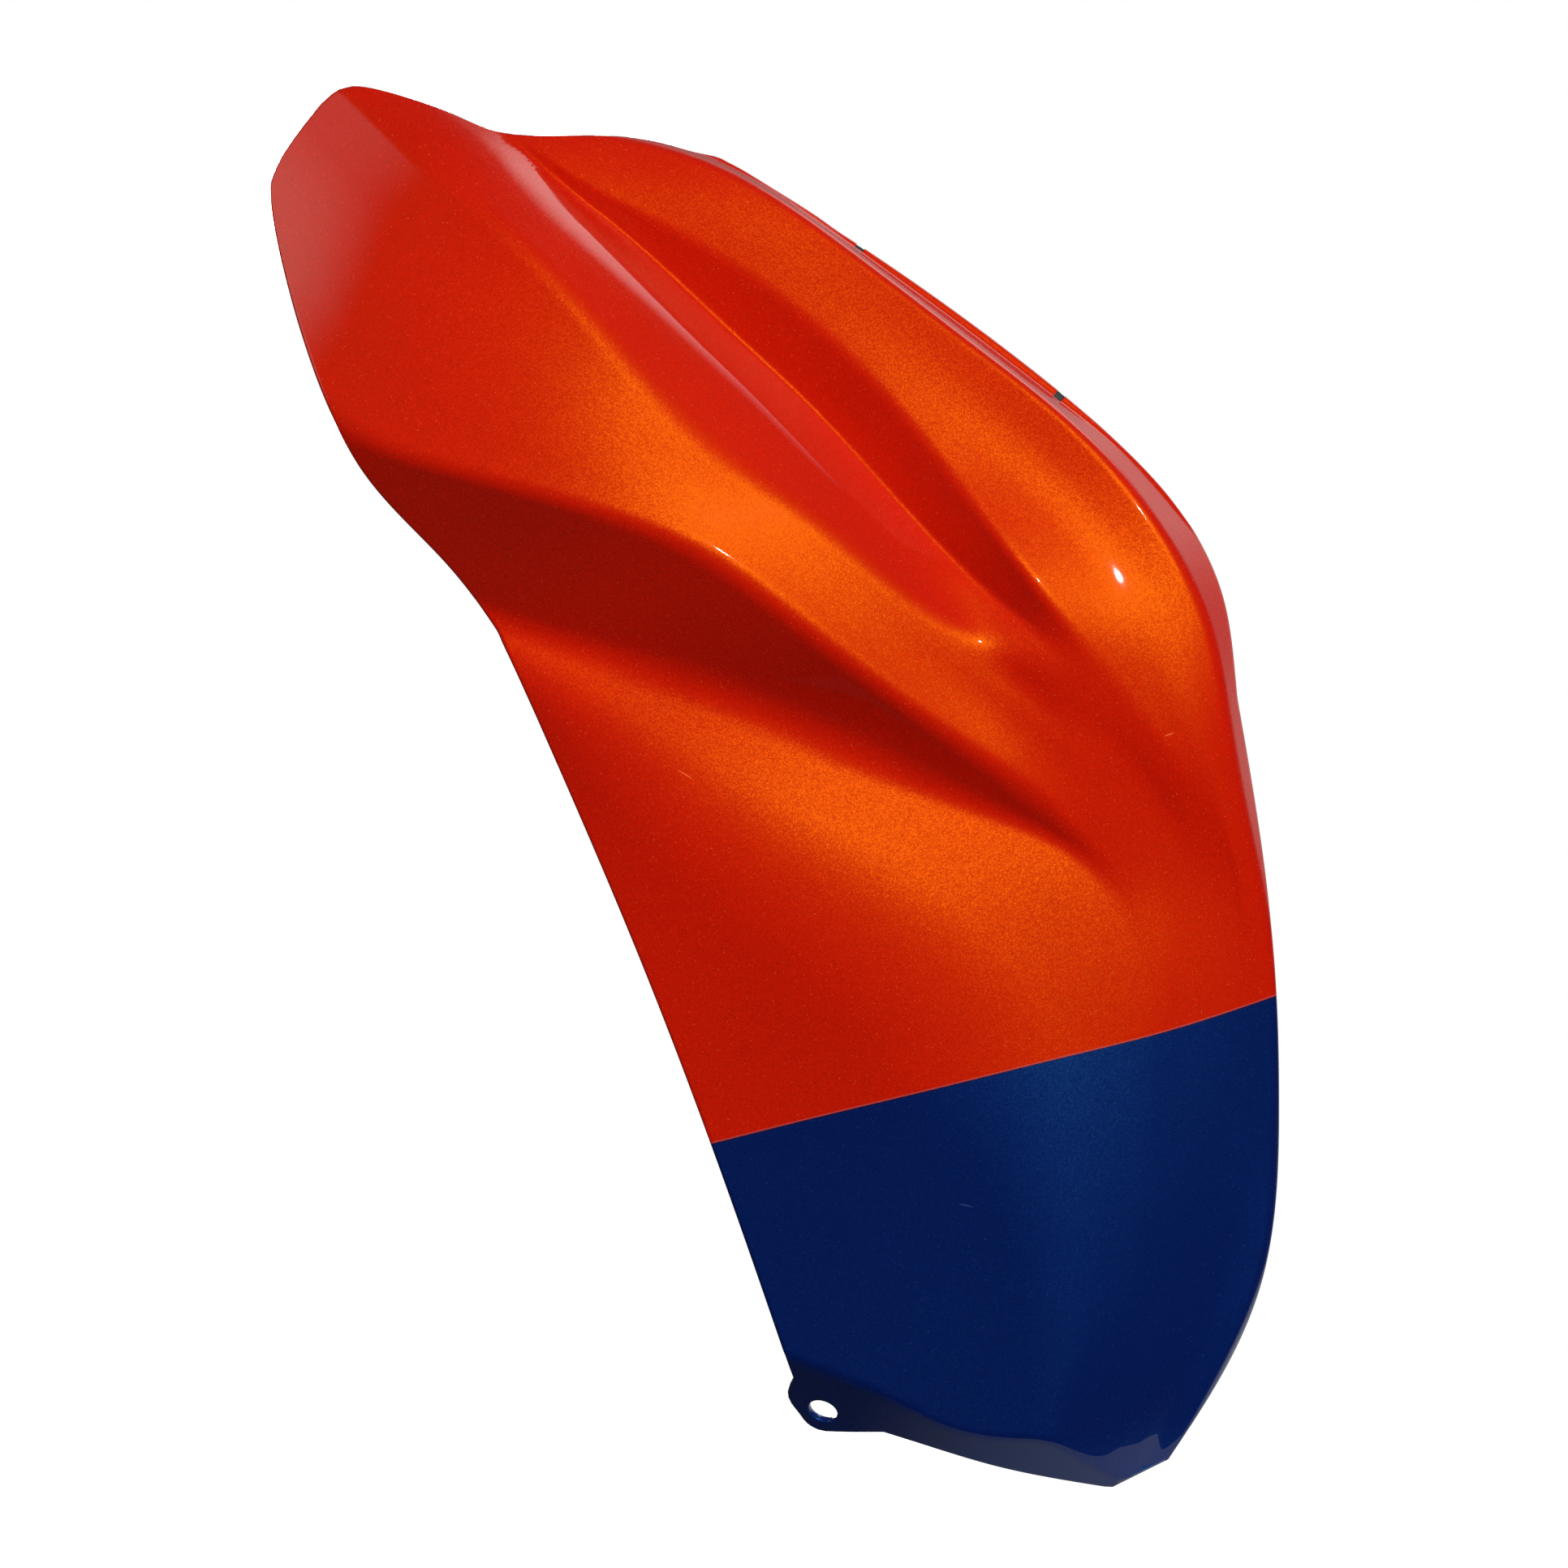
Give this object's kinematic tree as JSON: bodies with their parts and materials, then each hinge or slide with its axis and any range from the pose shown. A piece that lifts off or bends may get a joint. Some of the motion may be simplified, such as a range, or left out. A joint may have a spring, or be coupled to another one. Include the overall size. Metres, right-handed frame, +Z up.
{
  "type": "motorcycle side fairing panel",
  "caption": "Curved moulded side panel with a raised brow over an undercut, a fluted shoulder, a stepped joint flange, a hem with a bored fixing tab, and locating pegs behind.",
  "frame": {"origin": "centre of the lower tab's bore, at the middle of its wall", "axes": "+Z up the panel as it is pictured, +X to the right of the picture towards the joint flange, -Y outwards through the painted face"},
  "size_m": [0.3419, 0.0835, 0.4747],
  "materials": {
    "orange_paint": "orange metallic base coat under a gloss clear coat, on moulded ABS",
    "blue_paint": "dark blue metallic base coat under the same gloss clear coat, below the paint line",
    "bare_plastic": "bare black moulded ABS on the back"
  },
  "bodies": {
    "root": {"fairing_panel": "orange_paint"}
  },
  "joints": []
}
